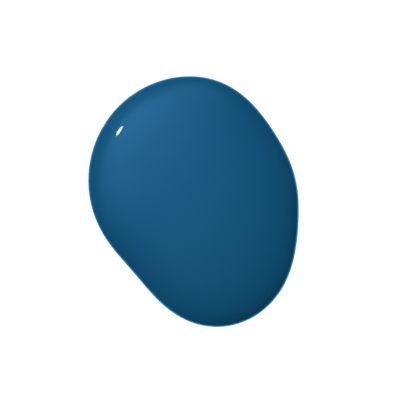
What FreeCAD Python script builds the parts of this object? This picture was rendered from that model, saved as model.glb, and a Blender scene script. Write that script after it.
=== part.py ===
"""A pool of glossy paint poured on a flat surface, in millimetres, +Z up.

The origin is the middle of the pool's bounding box, on the surface that the pool rests on. +Y runs
along the longer side. The outline is one smooth closed curve without corners. All round it the
paint has wetted the surface with a thin, narrow foot. Inside the foot the pool has the shape that
surface tension gives a liquid: it rises steeply, then rounds over into a low crown.

A pour has no fasteners, and nothing on it turns or slides. It comes apart in the zones it dries in:
  edge_film     the thin foot all round, which dries first and grips the surface
  surface_skin  the glossy film over the top, which dries next and can be peeled off as one sheet
  wet_core      the paint that these two enclose, the last to dry, down to the surface below
"""

import FreeCAD, Part
import math
import os

# Outline: a circle with waves round it. Each wave is its number of crests, the height of a crest,
# and the direction of one crest in degrees from +X towards +Y.
MEAN_RADIUS = 19.59
OUTLINE_WAVES = (
    (1, 0.86, 37.0),
    (2, 2.476, -66.1),
    (3, 0.66, 54.5),
    (4, 0.34, 10.4),
    (5, 0.085, 2.7),
    (6, 0.086, 18.0),
    (7, 0.034, 13.7),
)

# Section from the outline to the middle
FOOT_WIDTH = 0.25
FOOT_HEIGHT = 0.08
CONTACT_ANGLE = 60.0  # degrees between the surface below and the paint, where it rises from the foot
CAPILLARY_LENGTH = 2.1  # sets how far in from the foot the edge rounds over
CROWN_RISE = 0.8  # rise of the middle above the height that a wide flat pool would have
SKIN_THICKNESS = 0.3

# How finely the curves are drawn
POINTS_ROUND = 72
ARCS_ROUND = 4  # each curve round the pool is cut into this many arcs, so that no face closes on itself
FLATTEST_EDGE_ANGLE = 6.0  # degrees of slope left where the edge's rings give way to the crown's
EDGE_RINGS = 14
CROWN_RINGS = 7
TOP_CAP_START = 0.95  # the small flat cap starts this far from the outline to the middle
LEAST_RING_GAP = 0.07  # rings of the section nearer than this to a solid's first or last are left out
OUTLINE_SAMPLES = 1440


def outline_at(angle):
    """The outline's point at an angle in radians, and the unit vector straight into the pool there."""
    radius = MEAN_RADIUS
    radius_change = 0.0
    for crests, height, direction in OUTLINE_WAVES:
        phase = crests * (angle - math.radians(direction))
        radius += height * math.cos(phase)
        radius_change -= crests * height * math.sin(phase)
    point = FreeCAD.Vector(radius * math.cos(angle), radius * math.sin(angle), 0)
    along = FreeCAD.Vector(
        radius_change * math.cos(angle) - radius * math.sin(angle),
        radius_change * math.sin(angle) + radius * math.cos(angle),
        0,
    )
    along.normalize()
    return point, FreeCAD.Vector(-along.y, along.x, 0)


def turn(step, steps):
    """The angle in radians of one of a number of equal steps round the outline."""
    return 2 * math.pi * step / steps


def outline_middle():
    """The middle of the outline's bounding box, before the outline is centred on the origin."""
    points = [outline_at(turn(i, OUTLINE_SAMPLES))[0] for i in range(OUTLINE_SAMPLES)]
    xs = [point.x for point in points]
    ys = [point.y for point in points]
    return FreeCAD.Vector((min(xs) + max(xs)) / 2, (min(ys) + max(ys)) / 2, 0)


MIDDLE = outline_middle()
OUTLINE = [outline_at(turn(i, POINTS_ROUND)) for i in range(POINTS_ROUND)]


def ring(inset, height):
    """A level closed curve. Inset 0 is the outline, 1 is the middle: near the outline the curve runs
    parallel to it, MEAN_RADIUS * inset inside, and towards the middle it shrinks to a point."""
    points = []
    for point, inward in OUTLINE:
        shrunk = (point - MIDDLE) * (1 - inset**2)
        moved_in = inward * (MEAN_RADIUS * inset * (1 - inset))
        points.append(shrunk + moved_in + FreeCAD.Vector(0, 0, height))
    curve = Part.BSplineCurve()
    curve.interpolate(
        Points=points,
        PeriodicFlag=True,
        Parameters=[i / POINTS_ROUND for i in range(POINTS_ROUND + 1)],
    )
    return Part.Wire([curve.toShape(i / ARCS_ROUND, (i + 1) / ARCS_ROUND) for i in range(ARCS_ROUND)])


def edge_distance(slope):
    """How far inside the outline the rise from the foot has fallen off to a slope, in radians."""

    def reach(angle):
        return math.log(math.tan(angle / 4)) + 2 * math.cos(angle / 2)

    return FOOT_WIDTH + CAPILLARY_LENGTH * (reach(math.radians(CONTACT_ANGLE)) - reach(slope))


def edge_height(slope):
    """How high the paint stands where the rise from the foot has fallen off to a slope, in radians."""
    contact = math.radians(CONTACT_ANGLE)
    return FOOT_HEIGHT + 2 * CAPILLARY_LENGTH * (math.sin(contact / 2) - math.sin(slope / 2))


def top_profile():
    """The top's section, from the outline to the cap, as rows of inset, height and slope in radians."""
    rows = [(0, 0, math.atan(FOOT_HEIGHT / FOOT_WIDTH))]
    flattest = math.radians(FLATTEST_EDGE_ANGLE)
    steepest = math.radians(CONTACT_ANGLE)
    for i in range(EDGE_RINGS + 1):
        slope = steepest + (flattest - steepest) * i / EDGE_RINGS
        rows.append(profile_row(edge_distance(slope) / MEAN_RADIUS, slope))
    last_inset = rows[-1][0]
    for i in range(1, CROWN_RINGS + 1):
        inset = last_inset + (TOP_CAP_START - last_inset) * i / CROWN_RINGS
        # Past the edge's rings the slope dies away by the same share over each capillary length
        slope = flattest * math.exp((last_inset - inset) * MEAN_RADIUS / CAPILLARY_LENGTH)
        rows.append(profile_row(inset, slope))
    return rows


def profile_row(inset, edge_slope):
    """Inset, height and slope of the top inside the foot: the edge's curve with the crown added."""
    crown_radius = MEAN_RADIUS - FOOT_WIDTH
    from_middle = MEAN_RADIUS * (1 - inset) / crown_radius
    height = edge_height(edge_slope) + CROWN_RISE * (1 - from_middle**2)
    crown_slope = 2 * CROWN_RISE * from_middle / crown_radius
    return inset, height, math.atan(math.tan(edge_slope) + crown_slope)


def underside(profile):
    """The section one skin's thickness inside the top's, measured square to it."""
    rows = []
    for inset, height, slope in profile:
        moved_in = SKIN_THICKNESS * math.sin(slope) / MEAN_RADIUS
        lowered = SKIN_THICKNESS * math.cos(slope)
        rows.append((inset + moved_in, height - lowered, slope))
    return rows


def inset_at(profile, height):
    """The inset at which a section passes a height. Below its first row it carries on in line."""
    for lower, upper in zip(profile, profile[1:]):
        if height <= upper[1]:
            share = (height - lower[1]) / (upper[1] - lower[1])
            return lower[0] + share * (upper[0] - lower[0])
    raise ValueError("the section is lower than that")


def layer(profile, bottom, top=None):
    """The solid inside a section between two heights. Without a top it goes up to the flat cap."""
    rings = [ring(inset_at(profile, bottom), bottom)]
    for inset, height, _ in profile:
        if height > bottom + LEAST_RING_GAP and (top is None or height < top - LEAST_RING_GAP):
            rings.append(ring(inset, height))
    if top is not None:
        rings.append(ring(inset_at(profile, top), top))
    return Part.makeLoft(rings, True, len(rings) == 2)


def make_edge_film(outside, inside):
    """The foot: all that lies between the two sections, from the surface below up to its height."""
    return layer(outside, 0, FOOT_HEIGHT).cut(layer(inside, 0, FOOT_HEIGHT))


def make_surface_skin(outside, inside):
    """The film over the top: all that lies between the two sections above the foot."""
    return layer(outside, FOOT_HEIGHT).cut(layer(inside, FOOT_HEIGHT))


def make_wet_core(inside):
    """The paint that the film and the foot enclose."""
    return layer(inside, 0, FOOT_HEIGHT).fuse(layer(inside, FOOT_HEIGHT))


def export(name, shape):
    """Writes one part, after a test that it is one sound solid."""
    if len(shape.Solids) != 1 or not shape.isValid():
        raise ValueError(f"{name} is not one valid solid")
    shape.Solids[0].exportStep(f"parts/{name}.step")
    box = shape.BoundBox
    print(f"{name}: {shape.Volume:.1f} mm3, {box.XLength:.2f} x {box.YLength:.2f} x {box.ZLength:.2f} mm")


def main():
    os.makedirs("parts", exist_ok=True)
    outside = top_profile()
    inside = underside(outside)
    export("edge_film", make_edge_film(outside, inside))
    export("surface_skin", make_surface_skin(outside, inside))
    export("wet_core", make_wet_core(inside))


main()
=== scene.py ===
import math

import bpy
import numpy as np
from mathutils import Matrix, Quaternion, Vector


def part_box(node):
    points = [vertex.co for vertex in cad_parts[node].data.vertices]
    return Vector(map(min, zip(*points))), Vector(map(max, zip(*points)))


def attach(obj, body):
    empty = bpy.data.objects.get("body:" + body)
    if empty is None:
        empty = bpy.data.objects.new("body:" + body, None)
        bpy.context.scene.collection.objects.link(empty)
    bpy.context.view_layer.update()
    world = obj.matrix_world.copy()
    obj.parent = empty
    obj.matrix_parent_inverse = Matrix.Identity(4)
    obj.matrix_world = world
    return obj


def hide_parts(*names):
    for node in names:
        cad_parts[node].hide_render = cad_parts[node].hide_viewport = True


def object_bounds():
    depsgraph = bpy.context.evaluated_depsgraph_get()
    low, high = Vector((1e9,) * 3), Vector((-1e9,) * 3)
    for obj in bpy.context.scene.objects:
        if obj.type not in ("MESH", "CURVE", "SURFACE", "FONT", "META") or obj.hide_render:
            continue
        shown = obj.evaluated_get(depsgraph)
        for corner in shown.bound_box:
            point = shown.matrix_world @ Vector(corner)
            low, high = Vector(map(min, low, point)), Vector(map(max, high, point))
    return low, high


# The looks of a pool of glossy blue paint that lies on a pale surface. Metres, +Z up. A zenith angle is
# in degrees off straight up, and an azimuth in degrees from +X towards +Y.
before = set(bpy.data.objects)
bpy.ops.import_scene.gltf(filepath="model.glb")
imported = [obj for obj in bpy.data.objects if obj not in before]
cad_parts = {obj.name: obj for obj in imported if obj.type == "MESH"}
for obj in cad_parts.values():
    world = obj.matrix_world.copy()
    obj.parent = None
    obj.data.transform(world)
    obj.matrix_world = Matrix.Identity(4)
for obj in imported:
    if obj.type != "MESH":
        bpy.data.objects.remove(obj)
CAD_LOW, CAD_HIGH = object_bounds()
MM = 0.001

# Outline: a circle with waves round it. Each wave is its number of crests, the height of a crest,
# and the azimuth of one crest.
MEAN_RADIUS = 19.59 * MM
OUTLINE_WAVES = (
    (1, 0.86 * MM, 37.0),
    (2, 2.476 * MM, -66.1),
    (3, 0.66 * MM, 54.5),
    (4, 0.34 * MM, 10.4),
    (5, 0.085 * MM, 2.7),
    (6, 0.086 * MM, 18.0),
    (7, 0.034 * MM, 13.7),
)

# Section from the outline to the middle: a thin foot, and the rise from it
FOOT_WIDTH = 0.25 * MM
FOOT_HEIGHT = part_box("edge_film")[1].z - CAD_LOW.z
CONTACT_ANGLE = math.radians(60)  # between the surface below and the paint, where it rises from the foot
CAPILLARY_LENGTH = 2.1 * MM  # sets how far in from the foot the edge rounds over
RISE = CAD_HIGH.z - CAD_LOW.z - FOOT_HEIGHT
CROWN_RISE = RISE - 2 * CAPILLARY_LENGTH * math.sin(CONTACT_ANGLE / 2)
SKIN_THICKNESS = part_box("surface_skin")[1].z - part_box("wet_core")[1].z

# How finely the surfaces are drawn
POINTS_ROUND = 480
FOOT_STEPS = 8
EDGE_STEPS = 60
CROWN_STEPS = 44
LAST_INSET = 0.995  # the crown's last ring, just short of the middle
FLATTEST_EDGE_ANGLE = math.radians(3)  # slope left where the edge's rings give way to the crown's
SUPPORT = 0.002 * MM  # how near a cut the ring lies that keeps the surface smooth up to the cut
CORNER = math.radians(35)  # faces that meet at a larger angle than this meet in a sharp corner

# Paint. Each row is a thickness of the film on the white surface, and its colour, which deepens down
# to the last row.
FILM_COLOURS = (
    (0.000 * MM, (0.050, 0.800, 1.000)),
    (0.055 * MM, (0.020, 0.275, 0.610)),
    (0.080 * MM, (0.011, 0.180, 0.450)),
    (0.200 * MM, (0.010, 0.168, 0.390)),
    (0.400 * MM, (0.010, 0.146, 0.332)),
    (0.900 * MM, (0.010, 0.135, 0.300)),
)
LAMP_SIDE_AZIMUTH = 145  # azimuth of the lamps' side, where the film is drawn thickest and its colour deepest; opposite, where the pool shades its edge, it is drawn thinnest and its colour lighter: painted fill light
PAINTED_LIGHT_SHARE, PAINTED_SHADE_SHARE = 0.55, 1.1  # how thick the film is drawn on those sides, as a share of how thick it is: painted light on the far side, painted shade on the lamps' side
FILM_PATCH, FILM_VARIATION = 2.5 * MM, 0.15  # in patches of this size it also varies by this share
CLOUD_SIZE, CLOUD_SHARE = 6 * MM, 0.7  # clouds in the pigment, and their share of its unevenness
GRAIN_SIZE, GRAIN_SHARE = 0.25 * MM, 0.3  # the same for the grain in them
GLOSS_PATCH, GLOSS_VARIATION = 3 * MM, 0.3  # in patches of this size the roughness varies by this share
WAVE_HEIGHT = 0.004 * MM  # of the waves left in a surface that has levelled out
PAINT_IOR = 1.38
NOISE_LOW, NOISE_HIGH = 0.3, 0.7  # most values of a noise texture lie between these

# Light that reflections see: a bluish window, as soft round patches, and a faint glow from all around.
# Each patch is the zenith angle and the azimuth of its middle, and its radiance in red, green and blue.
WINDOW_PATCHES = (
    (8, 180, (0.10, 0.25, 0.60)),
    (20, 135, (0.35, 1.22, 2.65)),
    (40, 135, (0.38, 1.25, 2.50)),
    (40, 90, (0.24, 0.75, 1.65)),
    (40, 180, (0.20, 0.57, 1.25)),
    (60, 90, (0.22, 0.50, 1.05)),
    (80, 135, (0.16, 0.16, 0.16)),
)
WINDOW_FOCUS = 20  # the higher this is, the smaller the patches are
ROOM_GLOW = (0.02, 0.08, 0.18)
SPARKLE_TINT = (0.83, 1.0, 0.95)  # colour of the small lamp that makes the highlight

# Floor
FLOOR_REACH = 1.5  # from the middle to each side
FLOOR_GREY = 0.24
GLOW_START, GLOW_END = 15 * MM, 80 * MM  # the glow grows between these distances from the middle
GLOW_NEAR, GLOW_FAR = 0.90, 1.0  # its strength up to the first distance, and past the second
FLOOR_SPILL = 0.5  # share of the glow that falls on the paint

# Camera, which looks straight down
CAMERA_X, CAMERA_Y = 1.131 * MM, 0.270 * MM
FIELD_WIDTH = 69.79 * MM  # how much of the floor fills the picture from side to side
LENS = 100  # focal length in millimetres


def direction(zenith, azimuth):
    """The unit vector at a zenith angle and an azimuth."""
    tilt, turn = math.radians(zenith), math.radians(azimuth)
    return Vector((math.sin(tilt) * math.cos(turn), math.sin(tilt) * math.sin(turn), math.cos(tilt)))


# ---------------------------------------------------------------- shape


def outline(steps):
    """Points of the outline, centred on the frame, and the unit vectors straight into the pool there."""
    angle = np.linspace(0, 2 * np.pi, steps, endpoint=False)
    radius = np.full(steps, MEAN_RADIUS)
    change = np.zeros(steps)
    for crests, height, azimuth in OUTLINE_WAVES:
        phase = crests * (angle - math.radians(azimuth))
        radius += height * np.cos(phase)
        change -= crests * height * np.sin(phase)
    across, along = np.cos(angle), np.sin(angle)
    points = np.stack([radius * across, radius * along], axis=1)
    tangent = np.stack([change * across - radius * along, change * along + radius * across], axis=1)
    tangent /= np.linalg.norm(tangent, axis=1)[:, None]
    points -= (points.max(axis=0) + points.min(axis=0)) / 2
    points += np.array([(CAD_LOW.x + CAD_HIGH.x) / 2, (CAD_LOW.y + CAD_HIGH.y) / 2])
    return points, np.stack([-tangent[:, 1], tangent[:, 0]], axis=1)


OUTLINE_POINTS, INWARD = outline(POINTS_ROUND)


def ring(inset):
    """The level curve at an inset: 0 is the outline, 1 the middle. It runs parallel to the outline
    at first, MEAN_RADIUS * inset inside, and shrinks to a point towards the middle."""
    return OUTLINE_POINTS * (1 - inset**2) + INWARD * (MEAN_RADIUS * inset * (1 - inset))


def edge_distance(slope):
    """How far inside the outline the rise from the foot has fallen off to a slope."""

    def reach(angle):
        return np.log(np.tan(angle / 4)) + 2 * np.cos(angle / 2)

    return FOOT_WIDTH + CAPILLARY_LENGTH * (reach(CONTACT_ANGLE) - reach(slope))


def edge_height(slope):
    """How high the paint stands where the rise from the foot has fallen off to a slope."""
    return FOOT_HEIGHT + 2 * CAPILLARY_LENGTH * (np.sin(CONTACT_ANGLE / 2) - np.sin(slope / 2))


def foot_section():
    """The foot's rounded top from the outline inwards: rows of inset, height and slope."""
    angles = np.linspace(0, np.pi / 2, FOOT_STEPS + 1)
    insets = FOOT_WIDTH * (1 - np.cos(angles)) / MEAN_RADIUS
    slopes = np.arctan2(FOOT_HEIGHT * np.cos(angles), FOOT_WIDTH * np.sin(angles))
    return np.stack([insets, FOOT_HEIGHT * np.sin(angles), slopes], axis=1)


def top_section():
    """The top's section from the foot to the middle: rows of inset, height and slope."""
    slopes = np.linspace(CONTACT_ANGLE, FLATTEST_EDGE_ANGLE, EDGE_STEPS + 1)
    insets = edge_distance(slopes) / MEAN_RADIUS
    crown_insets = np.linspace(insets[-1], LAST_INSET, CROWN_STEPS + 1)[1:]
    fading = np.exp((insets[-1] - crown_insets) * MEAN_RADIUS / CAPILLARY_LENGTH)
    slopes = np.concatenate([slopes, FLATTEST_EDGE_ANGLE * fading])
    insets = np.concatenate([insets, crown_insets])
    crown_radius = MEAN_RADIUS - FOOT_WIDTH
    from_middle = MEAN_RADIUS * (1 - insets) / crown_radius
    heights = edge_height(slopes) + CROWN_RISE * (1 - from_middle**2)
    crown_slopes = 2 * CROWN_RISE * from_middle / crown_radius
    return np.stack([insets, heights, np.arctan(np.tan(slopes) + crown_slopes)], axis=1)


def inner_section(section):
    """The section one skin's thickness inside the top's, measured square to it."""
    insets, heights, slopes = section.T
    moved = insets + SKIN_THICKNESS * np.sin(slopes) / MEAN_RADIUS
    return np.stack([moved, heights - SKIN_THICKNESS * np.cos(slopes), slopes], axis=1)


def row_at(section, height):
    """The row of a section at a height."""
    return [np.interp(height, section[:, 1], column) for column in section.T]


def cut_section(section, bottom, top=None):
    """The part of a section between two heights. Rows are added at those heights and just inside
    them, so that the surface there is as smooth as if it went on."""
    top = section[-1, 1] if top is None else top
    kept = section[(section[:, 1] > bottom + 2 * SUPPORT) & (section[:, 1] < top - 2 * SUPPORT)]
    low_rows = [row_at(section, bottom), row_at(section, bottom + SUPPORT)]
    high_rows = [row_at(section, top - SUPPORT), row_at(section, top)]
    return np.vstack([low_rows, kept, high_rows])


def level_rings(section):
    """The rings of points of a section, each level at its own height."""
    rings = []
    for inset, height, _ in section:
        points = ring(inset)
        rings.append(np.column_stack([points, np.full(POINTS_ROUND, CAD_LOW.z + height)]))
    return rings


def ring_mesh(name, loops, closed_tube=False):
    """A mesh through rings of points. The ends are closed with a fan, or joined to each other."""
    count = len(loops)
    vertices = np.concatenate(loops)
    faces = []
    for k in range(count if closed_tube else count - 1):
        lower, upper = k * POINTS_ROUND, (k + 1) % count * POINTS_ROUND
        for i in range(POINTS_ROUND):
            j = (i + 1) % POINTS_ROUND
            faces.append((lower + i, lower + j, upper + j, upper + i))
    if not closed_tube:
        middles = [loops[0].mean(axis=0), loops[-1].mean(axis=0)]
        first, last = len(vertices), len(vertices) + 1
        vertices = np.vstack([vertices, middles])
        end = (count - 1) * POINTS_ROUND
        for i in range(POINTS_ROUND):
            j = (i + 1) % POINTS_ROUND
            faces.append((first, j, i))
            faces.append((last, end + i, end + j))
    mesh = bpy.data.meshes.new(name)
    mesh.from_pydata(vertices.tolist(), [], faces)
    mesh.shade_smooth()
    mesh.set_sharp_from_angle(angle=CORNER)
    mesh.update()
    piece = bpy.data.objects.new(name, mesh)
    bpy.context.scene.collection.objects.link(piece)
    return piece


def make_edge_film(inside):
    """The foot: its rounded top, the wall where the rest of the paint starts, and its underside."""
    wall = level_rings(cut_section(inside, 0.0, FOOT_HEIGHT))
    return ring_mesh("edge_film_ring", level_rings(foot_section()) + wall[::-1], closed_tube=True)


def make_surface_skin(outside, inside):
    """The film over the top: its underside, the rim that stands on the foot, and its outer face."""
    underside = level_rings(cut_section(inside, FOOT_HEIGHT))
    return ring_mesh("glossy_skin", underside[::-1] + level_rings(outside))


def make_wet_core(inside):
    """The paint that the film and the foot enclose."""
    return ring_mesh("liquid_core", level_rings(cut_section(inside, 0.0)))


# ---------------------------------------------------------------- shading


class Shading:
    """The node tree of a material or a world. What goes into a node is a plain value, or the output
    of another node."""

    def __init__(self, tree):
        self.nodes = tree.nodes
        self.links = tree.links

    def plug(self, value, socket):
        """Gives an input a plain value, or links another node's output to it."""
        if isinstance(value, bpy.types.NodeSocket):
            self.links.new(value, socket)
        else:
            socket.default_value = value

    def add(self, kind, inputs=None, **settings):
        """A node, with what goes into its inputs, by name or number, and its own settings by name."""
        node = self.nodes.new("ShaderNode" + kind)
        for name, value in settings.items():
            setattr(node, name, value)
        for name, value in (inputs or {}).items():
            self.plug(value, node.inputs[name])
        return node

    def coordinates(self, kind):
        """The place that is being shaded, in coordinates of a kind."""
        return self.add("TexCoord").outputs[kind]

    def is_camera_ray(self):
        """1 where the camera looks, and 0 for all other light."""
        return self.add("LightPath").outputs["Is Camera Ray"]

    def maths(self, operation, first, second):
        return self.add("Math", {0: first, 1: second}, operation=operation).outputs["Value"]

    def project(self, place, towards):
        """How far a place lies along a direction."""
        node = self.add("VectorMath", {0: place, 1: towards}, operation="DOT_PRODUCT")
        return node.outputs["Value"]

    def sum(self, first, second):
        return self.add("VectorMath", {0: first, 1: second}, operation="ADD").outputs["Vector"]

    def scale(self, colour, factor):
        return self.add("VectorMath", {0: colour, "Scale": factor}, operation="SCALE").outputs["Vector"]

    def remap(self, value, start, end, low, high, **settings):
        """Turns the range from start to end into the range from low to high, and stays within it."""
        inputs = {"Value": value, "From Min": start, "From Max": end, "To Min": low, "To Max": high}
        return self.add("MapRange", inputs, **settings).outputs["Result"]

    def noise(self, place, size, detail=2):
        """Smooth noise with patches of about a size, and with this much finer noise in them."""
        inputs = {"Vector": place, "Scale": 1 / size, "Detail": detail}
        return self.add("TexNoise", inputs, noise_dimensions="3D").outputs["Fac"]

    def vary(self, noise, mean, share):
        """A value that follows a noise, up to a share of the mean above and below the mean."""
        return self.remap(noise, NOISE_LOW, NOISE_HIGH, mean * (1 - share), mean * (1 + share))


def new_material(name):
    """A material, its node tree and the inputs of its shader."""
    material = bpy.data.materials.new(name)
    material.use_nodes = True
    tree = material.node_tree
    return material, Shading(tree), tree.nodes["Principled BSDF"].inputs


def film_thickness_and_painted_fill(shading, place):
    """The height above the floor, thinner here and there, and scaled up towards the lamps and down away from
    them, so that the colour is painted lighter on the side that the pool shades: painted fill light.
    """
    height = shading.add("SeparateXYZ", {0: place}).outputs["Z"]
    patchy = shading.vary(shading.noise(place, FILM_PATCH), 1, FILM_VARIATION)
    # Painted fill light: the film counts as thinner, so its colour as lighter, on the side away from the
    # lamps.
    sideways = shading.project(place, direction(90, LAMP_SIDE_AZIMUTH))
    side = shading.remap(sideways, -MEAN_RADIUS, MEAN_RADIUS, PAINTED_LIGHT_SHARE, PAINTED_SHADE_SHARE)
    return shading.maths("MULTIPLY", height, shading.maths("MULTIPLY", patchy, side))


def film_colour(shading, place):
    """The colour of the paint by the thickness of the film, and painted lighter on the side away from the
    lamps as fill light.
    """
    thickest = FILM_COLOURS[-1][0]
    depth = shading.maths("DIVIDE", film_thickness_and_painted_fill(shading, place), thickest)
    ramp = shading.add("ValToRGB", {"Fac": depth})
    stops = ramp.color_ramp.elements
    while len(stops) < len(FILM_COLOURS):
        stops.new(0.5)
    for stop, (thickness, colour) in zip(stops, FILM_COLOURS):
        stop.position = thickness / thickest
        stop.color = (*colour, 1)
    return ramp.outputs["Color"]


def pigment(shading, place, colour, strength):
    """A colour with faint clouds of more and less pigment, and a finer grain in them."""
    clouds = shading.maths("MULTIPLY", shading.noise(place, CLOUD_SIZE, detail=3), CLOUD_SHARE)
    grain = shading.maths("MULTIPLY", shading.noise(place, GRAIN_SIZE), GRAIN_SHARE)
    return shading.scale(colour, shading.vary(shading.maths("ADD", clouds, grain), 1, strength))


def surface_waves(shading, place, size):
    """The slight unevenness of a surface that has levelled out, as a normal."""
    inputs = {"Height": shading.noise(place, size, detail=0), "Strength": 1.0, "Distance": WAVE_HEIGHT}
    return shading.add("Bump", inputs).outputs["Normal"]


def paint_material(name, roughness, mottling, wave_size):
    """Gloss paint: deeper in colour as the film gets thicker, painted lighter on the side away from the
    lamps as fill light, faintly clouded, not quite level.
    """
    material, shading, inputs = new_material(name)
    place = shading.coordinates("Object")
    colour = pigment(shading, place, film_colour(shading, place), mottling)
    gloss = shading.vary(shading.noise(place, GLOSS_PATCH), roughness, GLOSS_VARIATION)
    shading.plug(colour, inputs["Base Color"])
    shading.plug(gloss, inputs["Roughness"])
    shading.plug(surface_waves(shading, place, wave_size), inputs["Normal"])
    shading.plug(PAINT_IOR, inputs["IOR"])
    return material


def floor_material():
    """Matt, with a glow of its own that makes it evenly white. Only part of the glow lights the paint."""
    material, shading, inputs = new_material("pale_floor")
    from_middle = shading.add("VectorMath", {0: shading.coordinates("Object")}, operation="LENGTH")
    glow = shading.remap(
        from_middle.outputs["Value"],
        GLOW_START,
        GLOW_END,
        GLOW_NEAR,
        GLOW_FAR,
        interpolation_type="SMOOTHSTEP",
    )
    share = shading.remap(shading.is_camera_ray(), 0, 1, FLOOR_SPILL, 1)
    shading.plug((FLOOR_GREY, FLOOR_GREY, FLOOR_GREY, 1), inputs["Base Color"])
    shading.plug(1.0, inputs["Roughness"])
    shading.plug(0.0, inputs["Specular IOR Level"])
    shading.plug((1, 1, 1, 1), inputs["Emission Color"])
    shading.plug(shading.maths("MULTIPLY", glow, share), inputs["Emission Strength"])
    return material


# ---------------------------------------------------------------- stage


def add_floor():
    """One large level face under the pool. The paint's gloss doesn't show it."""
    mesh = bpy.data.meshes.new("floor")
    corners = [(-1, -1), (1, -1), (1, 1), (-1, 1)]
    mesh.from_pydata([(x * FLOOR_REACH, y * FLOOR_REACH, CAD_LOW.z) for x, y in corners], [], [(0, 1, 2, 3)])
    floor = bpy.data.objects.new("floor", mesh)
    bpy.context.scene.collection.objects.link(floor)
    mesh.materials.append(floor_material())
    floor.visible_glossy = False


def add_lamp(name, zenith, azimuth, distance, radiance, width, length=None, spin=0):
    """A soft oval lamp that faces the origin. It lights the paint, but doesn't show in its gloss."""
    lamp = bpy.data.lights.new(name, "AREA")
    lamp.shape = "ELLIPSE"
    lamp.size = width
    lamp.size_y = length or width
    area = math.pi * lamp.size * lamp.size_y / 4
    lamp.energy = radiance * math.pi * area  # what a flat lamp of this radiance gives out, in watts
    holder = bpy.data.objects.new(name, lamp)
    bpy.context.scene.collection.objects.link(holder)
    towards = direction(zenith, azimuth)
    holder.location = towards * distance
    facing = (-towards).to_track_quat("-Z", "Y")
    holder.rotation_euler = (facing @ Quaternion((0, 0, 1), math.radians(spin))).to_euler()
    holder.visible_camera = False
    holder.visible_glossy = False
    return holder


def add_sparkle():
    """The small lamp that makes the highlight. It shows in the gloss, and lights nothing."""
    sparkle = add_lamp(
        "sparkle",
        zenith=39.9,
        azimuth=144.6,
        distance=0.5135,
        radiance=41,
        width=0.041,
        length=0.052,
        spin=6,
    )
    sparkle.data.color = SPARKLE_TINT
    sparkle.visible_glossy = True
    sparkle.visible_diffuse = False


def add_lights():
    """Three soft lamps that light the paint, and the one that makes its highlight."""
    add_lamp("near_lamp", zenith=18.5, azimuth=116.6, distance=0.1055, radiance=14.7, width=0.03)
    add_lamp("side_lamp", zenith=20, azimuth=180, distance=0.6, radiance=6.45, width=0.2)
    add_lamp("main_lamp", zenith=40, azimuth=120, distance=0.6, radiance=7.35, width=0.2)
    add_sparkle()


def window_light(shading):
    """The colour of the window and the room, in the direction in which a reflection looks."""
    towards = shading.coordinates("Generated")
    total = ROOM_GLOW
    for zenith, azimuth, radiance in WINDOW_PATCHES:
        nearness = shading.maths("MAXIMUM", shading.project(towards, direction(zenith, azimuth)), 0.0)
        patch = shading.scale(radiance, shading.maths("POWER", nearness, WINDOW_FOCUS))
        total = shading.sum(total, patch)
    return total


def add_world():
    """White to look at. Reflections see a soft bluish window in it, and it lights nothing else."""
    world = bpy.data.worlds.new("studio")
    world.use_nodes = True
    shading = Shading(world.node_tree)
    inputs = {"Factor": shading.is_camera_ray(), "A": window_light(shading), "B": (1, 1, 1, 1)}
    seen = shading.add("Mix", inputs, data_type="RGBA").outputs["Result"]
    shading.plug(seen, world.node_tree.nodes["Background"].inputs["Color"])
    world.cycles_visibility.diffuse = False
    bpy.context.scene.world = world


def add_camera():
    """Looks straight down, from as far as makes the field fill the picture."""
    camera = bpy.data.cameras.new("camera")
    camera.lens = LENS
    holder = bpy.data.objects.new("camera", camera)
    bpy.context.scene.collection.objects.link(holder)
    holder.location = (CAMERA_X, CAMERA_Y, FIELD_WIDTH * camera.lens / camera.sensor_width)
    bpy.context.scene.camera = holder


def finish_piece(piece, node, material):
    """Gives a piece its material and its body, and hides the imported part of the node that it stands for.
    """
    piece.data.materials.append(material)
    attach(piece, "root")
    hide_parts(node)


outside = top_section()
inside = inner_section(outside)
edge_paint = paint_material("drying_edge_paint", roughness=0.08, mottling=0.02, wave_size=1.5 * MM)
skin_paint = paint_material("glossy_skin_paint", roughness=0.03, mottling=0.015, wave_size=7 * MM)
wet_paint = paint_material("wet_paint", roughness=0.03, mottling=0.01, wave_size=7 * MM)
finish_piece(make_edge_film(inside), "edge_film", edge_paint)
finish_piece(make_surface_skin(outside, inside), "surface_skin", skin_paint)
finish_piece(make_wet_core(inside), "wet_core", wet_paint)
add_floor()
add_lights()
add_world()
add_camera()
bpy.context.scene.view_settings.view_transform = "Standard"
